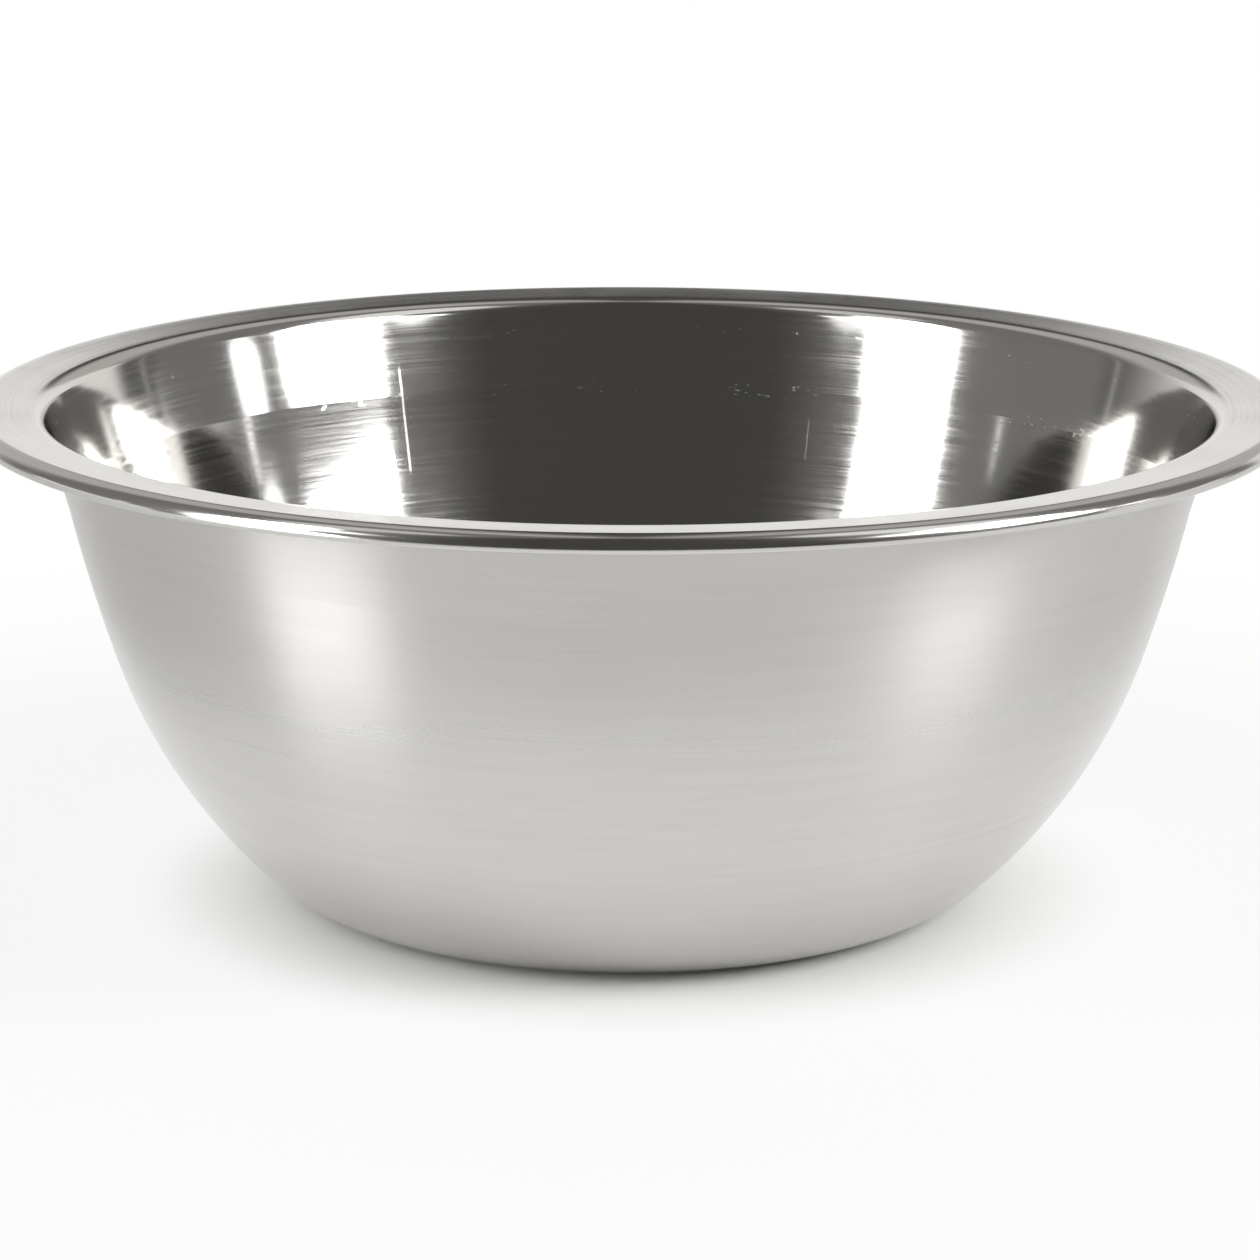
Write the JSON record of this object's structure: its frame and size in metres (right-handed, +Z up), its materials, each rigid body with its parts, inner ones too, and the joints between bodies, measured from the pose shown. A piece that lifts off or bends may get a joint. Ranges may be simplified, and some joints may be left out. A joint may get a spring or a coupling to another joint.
{
  "type": "mixing bowl",
  "caption": "Round stainless steel mixing bowl: flat base, deep tapered wall, and a wide lip with a turned-down, tucked edge.",
  "frame": {"origin": "centre of the base's underside, on the surface that the bowl stands on", "axes": "+Z up along the bowl's axis, out of the mouth; X and Y lie in the base plane and are interchangeable, because the bowl is round"},
  "size_m": [0.3, 0.3, 0.116],
  "materials": {
    "stainless_steel": "mirror polished inside, fine satin outside"
  },
  "bodies": {
    "root": {"bowl_shell": "stainless_steel"}
  },
  "joints": []
}
